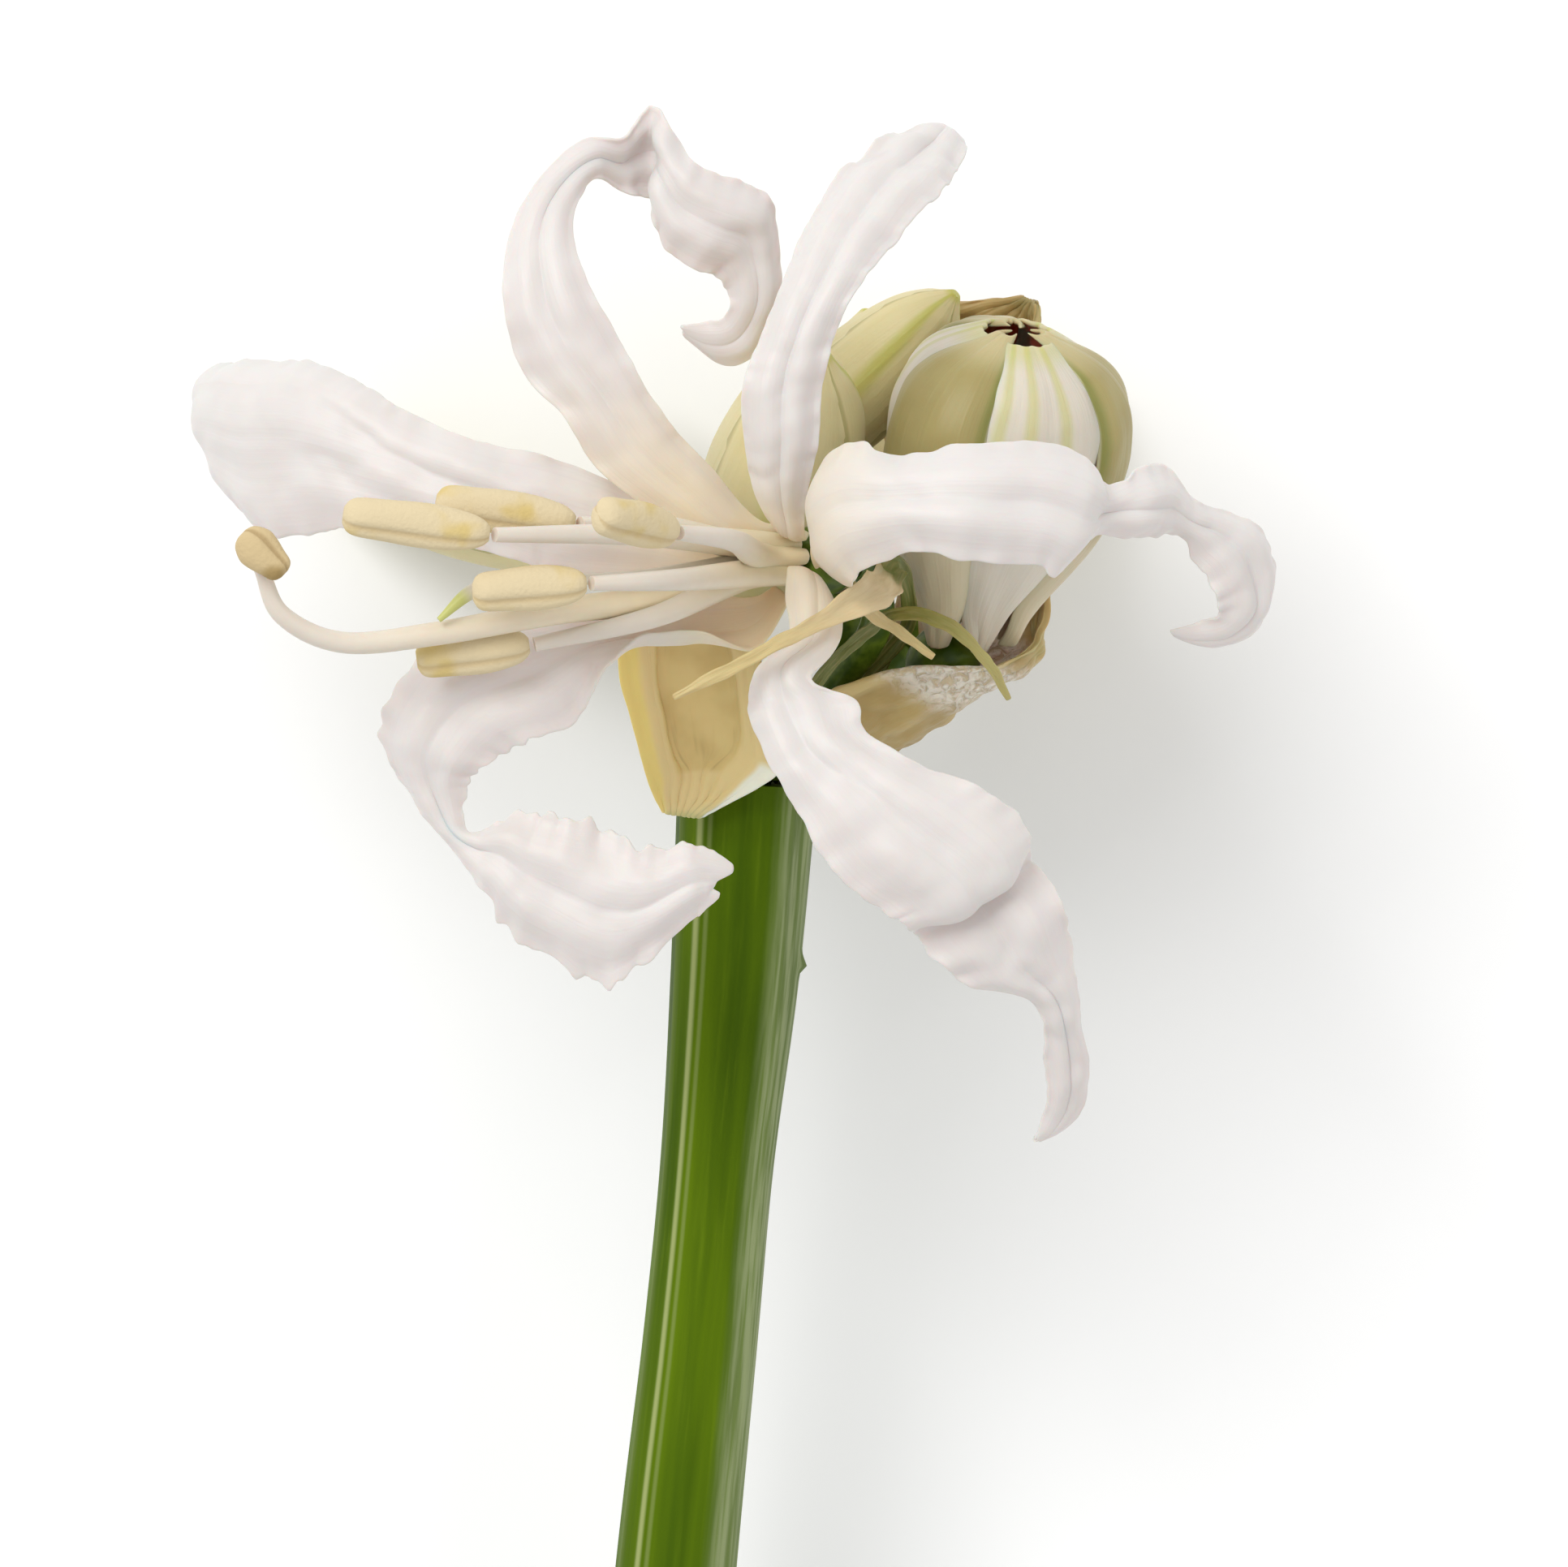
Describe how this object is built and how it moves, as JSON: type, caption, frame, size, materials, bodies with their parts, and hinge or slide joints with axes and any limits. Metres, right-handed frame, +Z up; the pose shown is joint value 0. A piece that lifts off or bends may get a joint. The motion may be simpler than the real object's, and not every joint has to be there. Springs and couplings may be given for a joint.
{
  "type": "cut nerine stem",
  "caption": "Cut white nerine stem lying down: leafless green scape, papery spathe, one open flower with curled tepals and long stamens, and pale buds.",
  "frame": {"origin": "centre of the bounding box's base, on the surface that the stem lies on", "axes": "+Y along the stem from its cut end to its flowers, +Z up, away from the surface, +X to the right seen from above with the flowers away from the viewer"},
  "size_m": [0.0744, 0.3997, 0.0701],
  "materials": {
    "tepal_white": "soft satin petal, pearl white with a cream throat",
    "bud_cream": "satin petal, cream white with lime midveins",
    "scape_green": "smooth waxy green plant stalk, finely ribbed",
    "ovary_green": "smooth waxy green plant tissue",
    "spathe_tan": "papery tan bract with fine veins",
    "filament_cream": "smooth cream-white thread",
    "anther_yellow": "matt pale yellow pollen sac",
    "bracteole_cream": "thin cream-green thread-like bract"
  },
  "bodies": {
    "root": {"anther_1": "anther_yellow", "anther_2": "anther_yellow", "anther_3": "anther_yellow", "anther_4": "anther_yellow", "anther_5": "anther_yellow", "anther_6": "anther_yellow", "bracteole_1": "bracteole_cream", "bracteole_2": "bracteole_cream", "bracteole_3": "bracteole_cream", "bracteole_4": "bracteole_cream", "bracteole_5": "bracteole_cream", "closed_bud_1": "bud_cream", "closed_bud_1_ovary": "ovary_green", "closed_bud_1_pedicel": "ovary_green", "closed_bud_2": "bud_cream", "closed_bud_2_ovary": "ovary_green", "closed_bud_2_pedicel": "ovary_green", "closed_bud_3": "bud_cream", "closed_bud_3_ovary": "ovary_green", "closed_bud_3_pedicel": "ovary_green", "closed_bud_4": "bud_cream", "closed_bud_4_ovary": "ovary_green", "closed_bud_4_pedicel": "ovary_green", "closed_bud_5": "bud_cream", "closed_bud_5_ovary": "ovary_green", "closed_bud_5_pedicel": "ovary_green", "closed_bud_6": "bud_cream", "closed_bud_6_ovary": "ovary_green", "closed_bud_6_pedicel": "ovary_green", "filament_1": "filament_cream", "filament_2": "filament_cream", "filament_3": "filament_cream", "filament_4": "filament_cream", "filament_5": "filament_cream", "filament_6": "filament_cream", "half_open_bud_ovary": "ovary_green", "half_open_bud_pedicel": "ovary_green", "half_open_bud_tepal_inner_1": "bud_cream", "half_open_bud_tepal_inner_2": "bud_cream", "half_open_bud_tepal_inner_3": "bud_cream", "half_open_bud_tepal_outer_1": "bud_cream", "half_open_bud_tepal_outer_2": "bud_cream", "half_open_bud_tepal_outer_3": "bud_cream", "open_flower_ovary": "ovary_green", "open_flower_pedicel": "ovary_green", "open_flower_tepal_left": "tepal_white", "open_flower_tepal_lower_left": "tepal_white", "open_flower_tepal_lower_right": "tepal_white", "open_flower_tepal_right": "tepal_white", "open_flower_tepal_upper": "tepal_white", "open_flower_tepal_upper_left": "tepal_white", "scape": "scape_green", "spathe_valve_back": "spathe_tan", "spathe_valve_front": "spathe_tan", "style": "filament_cream"}
  },
  "joints": []
}
